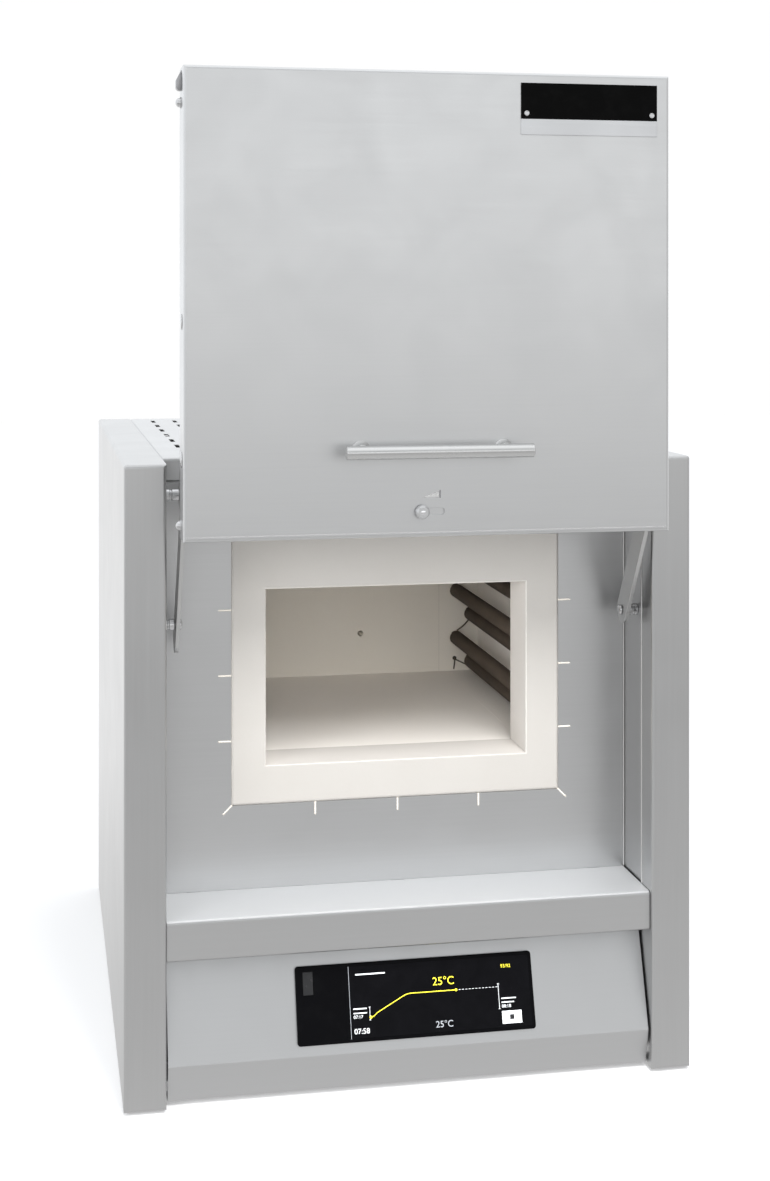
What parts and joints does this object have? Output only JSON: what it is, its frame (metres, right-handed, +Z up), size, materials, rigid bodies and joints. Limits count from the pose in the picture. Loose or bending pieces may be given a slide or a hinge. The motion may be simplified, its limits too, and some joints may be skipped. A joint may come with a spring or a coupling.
{
  "type": "muffle furnace",
  "caption": "Bench-top muffle furnace in brushed steel with a parallel-swing lift door, white fibre chamber, side heating coils and a touch controller.",
  "frame": {"origin": "centre of the overall box at rest, on the surface that the feet stand on", "axes": "+Z up, -Y out of the furnace mouth towards the user, +X to the user's right"},
  "size_m": [0.53, 0.7966, 0.9283],
  "materials": {
    "casing_steel": "satin",
    "plain_steel": "satin",
    "handle_steel": "satin",
    "fixing_steel": "satin",
    "fibre": "matte",
    "backup_fibre": "matte",
    "fired_ceramic": "matte",
    "heating_alloy": "matte",
    "black_bezel": "gloss",
    "screen_glass": "polished",
    "black_plastic": "matte",
    "flap_plastic": "gloss",
    "feet_rubber": "matte",
    "pin_brass": "satin",
    "rocker_plastic": "gloss",
    "sink_aluminium": "satin",
    "plate_black": "gloss",
    "plate_silver": "satin"
  },
  "bodies": {
    "furnace": {"right_cheek": "casing_steel", "left_cheek": "casing_steel", "right_inner_wall": "casing_steel", "left_inner_wall": "casing_steel", "right_pivot_doubler": "plain_steel", "left_pivot_doubler": "plain_steel", "top_cover": "casing_steel", "base_pan": "plain_steel", "feet": "feet_rubber", "front_panel": "casing_steel", "shelf": "casing_steel", "control_fascia": "casing_steel", "controller_bezel": "black_bezel", "controller_screen": "screen_glass", "controller_housing": "black_plastic", "usb_socket": "fixing_steel", "collar": "fibre", "chamber_floor": "fibre", "floor_plate": "fired_ceramic", "chamber_roof": "fibre", "chamber_right_wall": "fibre", "chamber_left_wall": "fibre", "chamber_rear_wall": "fibre", "backup_floor": "backup_fibre", "backup_roof": "backup_fibre", "backup_right": "backup_fibre", "backup_left": "backup_fibre", "backup_rear": "backup_fibre", "insulation_tray": "plain_steel", "right_support_tubes": "fired_ceramic", "left_support_tubes": "fired_ceramic", "right_heating_coils": "heating_alloy", "left_heating_coils": "heating_alloy", "coil_leads": "heating_alloy", "thermocouple": "fired_ceramic", "thermocouple_head": "sink_aluminium", "exhaust_duct": "plain_steel", "rear_panel": "casing_steel", "rear_screws": "fixing_steel", "mains_inlet": "black_plastic", "inlet_pins": "pin_brass", "switch_frame": "black_plastic", "heat_sink": "sink_aluminium", "solid_state_relay": "black_plastic", "terminal_block": "black_plastic", "casing_pivot_bolts": "fixing_steel", "casing_pivot_spacers": "fixing_steel"},
    "lower_arms": {"lower_arms": "handle_steel"},
    "door": {"door_shell": "casing_steel", "door_inner_tray": "plain_steel", "door_insulation": "fibre", "door_fittings": "fixing_steel", "handle": "handle_steel", "slider_guides": "plain_steel", "name_plate": "plate_black", "name_plate_strip": "plate_silver"},
    "upper_arms": {"upper_arms": "handle_steel"},
    "air_slider": {"air_slider": "fixing_steel"},
    "usb_flap": {"usb_flap": "flap_plastic"},
    "switch_rocker": {"switch_rocker": "rocker_plastic"}
  },
  "joints": [
    {"name": "lift", "type": "hinge", "parent": "furnace", "child": "lower_arms", "pos_m": [0, -0.23966, 0.42871], "axis": [1, 0, 0], "range_deg": [0, 138.6]},
    {"name": "door_level", "type": "hinge", "parent": "lower_arms", "child": "door", "pos_m": [0, -0.34175, 0.58896], "axis": [1, 0, 0], "range_deg": [-138.6, 0]},
    {"name": "upper_lift", "type": "hinge", "parent": "furnace", "child": "upper_arms", "pos_m": [0, -0.23966, 0.54771], "axis": [1, 0, 0], "range_deg": [0, 138.6]},
    {"name": "air_slide", "type": "slide", "parent": "door", "child": "air_slider", "axis": [1, 0, 0], "range_m": [0, 0.017]},
    {"name": "usb_flap_hinge", "type": "hinge", "parent": "furnace", "child": "usb_flap", "pos_m": [-0.0964, -0.26048, 0.10741], "axis": [1, 0, 0], "range_deg": [-100, 0]},
    {"name": "mains_switch", "type": "hinge", "parent": "furnace", "child": "switch_rocker", "pos_m": [0.092, 0.34995, 0.065], "axis": [1, 0, 0], "range_deg": [-18, 0]}
  ],
  "couplings": [
    {"joint": "door_level", "follows": "lift", "ratio": -1},
    {"joint": "upper_lift", "follows": "lift", "ratio": 1}
  ]
}
